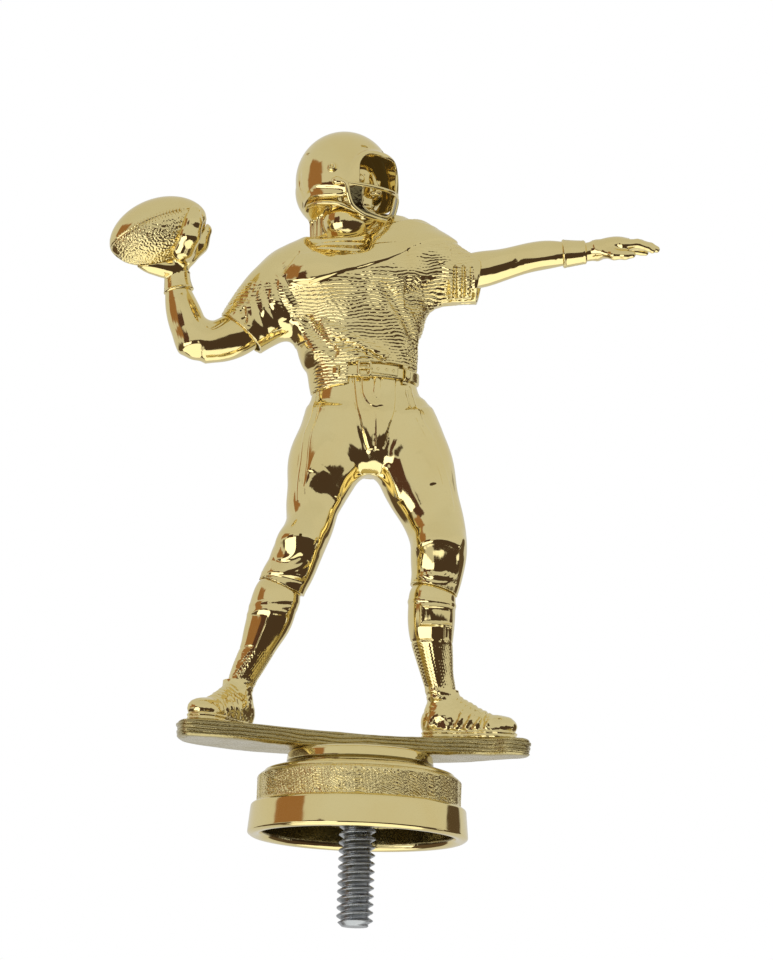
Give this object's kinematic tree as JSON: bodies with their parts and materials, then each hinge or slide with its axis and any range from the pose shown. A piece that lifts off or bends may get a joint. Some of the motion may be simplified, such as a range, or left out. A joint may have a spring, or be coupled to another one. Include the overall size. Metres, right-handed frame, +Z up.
{
  "type": "figure trophy",
  "caption": "Gold metallised football passer trophy figure on a stepped round base with a threaded mounting stud.",
  "frame": {"origin": "centre of the mounting stud's lower end face, on the axis shared by the stud and the round base", "axes": "+Z up along the stud, -Y the way the figure's chest faces, +X the way it throws"},
  "size_m": [0.0716, 0.0286, 0.1053],
  "materials": {
    "gold_metallised": "polished",
    "zinc_steel": "satin"
  },
  "bodies": {
    "figure": {"stud_nut": "zinc_steel", "base_ring": "gold_metallised", "textured_band": "gold_metallised", "riser_neck": "gold_metallised", "ground_plate": "gold_metallised", "right_sole": "gold_metallised", "right_shoe": "gold_metallised", "right_lower_leg": "gold_metallised", "left_sole": "gold_metallised", "left_shoe": "gold_metallised", "left_lower_leg": "gold_metallised", "pants": "gold_metallised", "belt": "gold_metallised", "belt_buckle": "gold_metallised", "jersey": "gold_metallised", "throwing_arm": "gold_metallised", "lead_arm": "gold_metallised", "right_wristband": "gold_metallised", "left_wristband": "gold_metallised", "football": "gold_metallised", "football_laces": "gold_metallised", "head": "gold_metallised", "helmet_shell": "gold_metallised", "face_mask": "gold_metallised", "chin_strap": "gold_metallised", "right_helmet_snap": "gold_metallised", "left_helmet_snap": "gold_metallised"},
    "stud": {"mounting_stud": "zinc_steel"}
  },
  "joints": [
    {"name": "stud_turn", "type": "hinge", "parent": "figure", "child": "stud", "pos_m": [0, 0, 0.0114], "axis": [0, 0, 1], "continuous": true}
  ]
}
